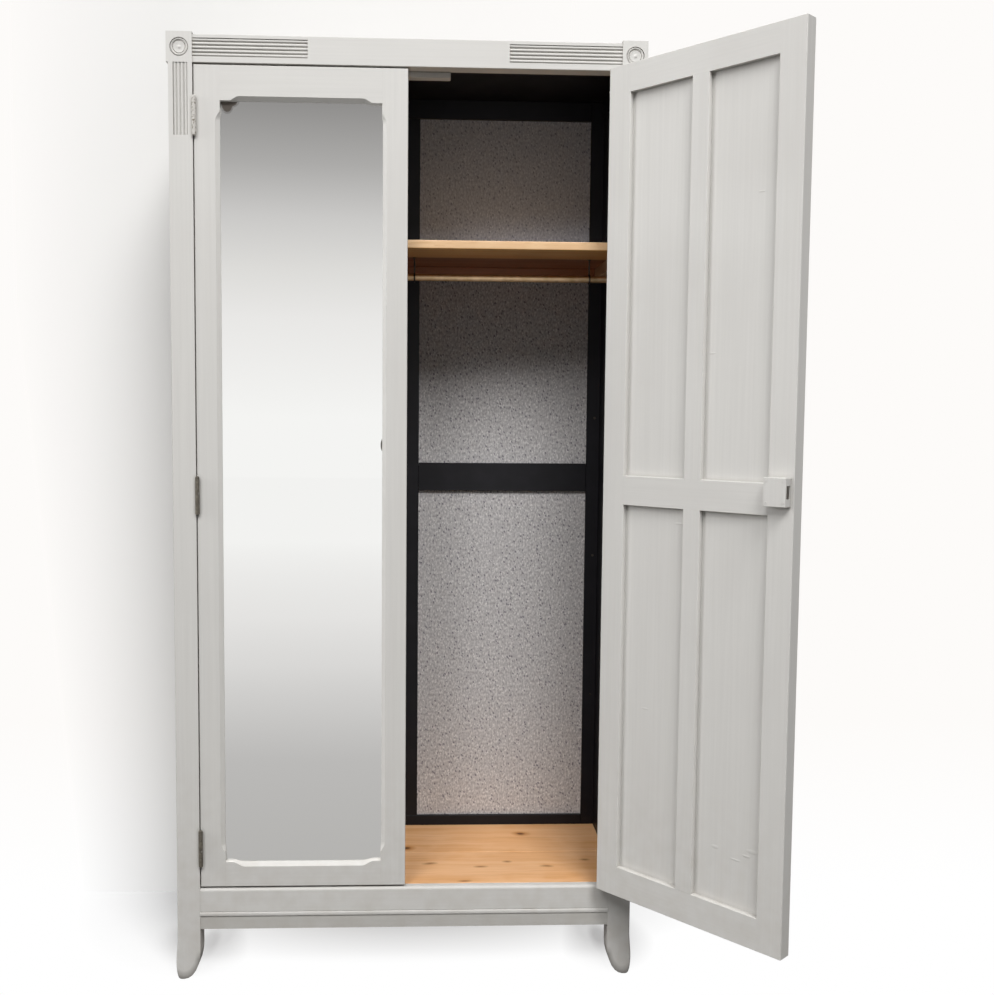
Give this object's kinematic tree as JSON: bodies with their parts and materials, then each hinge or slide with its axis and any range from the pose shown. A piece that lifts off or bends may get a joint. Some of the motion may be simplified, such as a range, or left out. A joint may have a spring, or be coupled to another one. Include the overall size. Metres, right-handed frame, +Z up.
{
  "type": "mirrored armoire",
  "caption": "Painted two-door armoire with mirrored doors on lift-off hinges, a reeded cornice, sabre feet, a shelf over a hanging rail, a door lock and a bolt.",
  "frame": {"origin": "bottom centre of the bounding box as pictured: left door shut, right door standing open", "axes": "+Z up; the doors are on the -Y side; +X to the right of someone facing the doors"},
  "size_m": [1.2238, 0.7618, 2],
  "materials": {
    "grey_paint": "brushed satin paint",
    "black_paint": "matt black paint",
    "printed_lining": "board lined with a small speckled print",
    "waxed_pine": "waxed softwood",
    "painted_backing": "brushed satin paint",
    "mirror_glass": "silvered glass",
    "hinge_iron": "aged, partly painted",
    "bolt_steel": "dark, worn",
    "rail_brass": "dull"
  },
  "bodies": {
    "carcass": {"front_left_post": "grey_paint", "front_right_post": "grey_paint", "back_left_post": "grey_paint", "back_right_post": "grey_paint", "cornice_front_rail": "grey_paint", "left_top_rail": "grey_paint", "right_top_rail": "grey_paint", "roof_panel": "grey_paint", "bottom_front_rail": "grey_paint", "left_bottom_rail": "grey_paint", "right_bottom_rail": "grey_paint", "left_side_panel": "grey_paint", "right_side_panel": "grey_paint", "back_bottom_rail": "black_paint", "back_mid_rail": "black_paint", "back_top_rail": "black_paint", "back_muntin": "black_paint", "back_panel_lower": "printed_lining", "back_panel_upper": "printed_lining", "floor_board_front": "waxed_pine", "floor_board_back": "waxed_pine", "shelf": "waxed_pine", "shelf_cleat_left": "waxed_pine", "shelf_cleat_right": "waxed_pine", "shelf_cleat_back": "waxed_pine", "hanging_rail": "rail_brass", "door_stop": "grey_paint", "left_hinge_top_post_half": "hinge_iron", "left_hinge_middle_post_half": "hinge_iron", "left_hinge_bottom_post_half": "hinge_iron", "right_hinge_top_post_half": "hinge_iron", "right_hinge_middle_post_half": "hinge_iron", "right_hinge_bottom_post_half": "hinge_iron"},
    "left_door": {"left_door_hinge_stile": "grey_paint", "left_door_meeting_stile": "grey_paint", "left_door_top_rail": "grey_paint", "left_door_bottom_rail": "grey_paint", "left_door_mirror": "mirror_glass", "left_door_backing": "painted_backing", "left_door_mid_rail": "grey_paint", "left_door_muntin": "grey_paint", "left_hinge_top_door_half": "hinge_iron", "left_hinge_middle_door_half": "hinge_iron", "left_hinge_bottom_door_half": "hinge_iron", "lock_keeper": "bolt_steel", "top_bolt_case": "bolt_steel"},
    "right_door": {"right_door_hinge_stile": "grey_paint", "right_door_meeting_stile": "grey_paint", "right_door_top_rail": "grey_paint", "right_door_bottom_rail": "grey_paint", "right_door_mirror": "mirror_glass", "right_door_backing": "painted_backing", "right_door_mid_rail": "grey_paint", "right_door_muntin": "grey_paint", "right_hinge_top_door_half": "hinge_iron", "right_hinge_middle_door_half": "hinge_iron", "right_hinge_bottom_door_half": "hinge_iron", "lock_case": "grey_paint"},
    "lock_bolt": {"lock_bolt": "bolt_steel"},
    "top_bolt": {"top_bolt": "bolt_steel"}
  },
  "joints": [
    {"name": "left_door_hinge", "type": "hinge", "parent": "carcass", "child": "left_door", "pos_m": [-0.55541, -0.02312, 1], "axis": [0, 0, -1], "range_deg": [0, 170]},
    {"name": "right_door_hinge", "type": "hinge", "parent": "carcass", "child": "right_door", "pos_m": [0.32359, -0.02312, 1], "axis": [0, 0, 1], "range_deg": [-132, 38]},
    {"name": "lock_bolt_slide", "type": "slide", "parent": "right_door", "child": "lock_bolt", "axis": [0.6691, -0.7431, 0], "range_m": [0, 0.02]},
    {"name": "top_bolt_slide", "type": "slide", "parent": "left_door", "child": "top_bolt", "axis": [0, 0, 1], "range_m": [0, 0.012]}
  ]
}
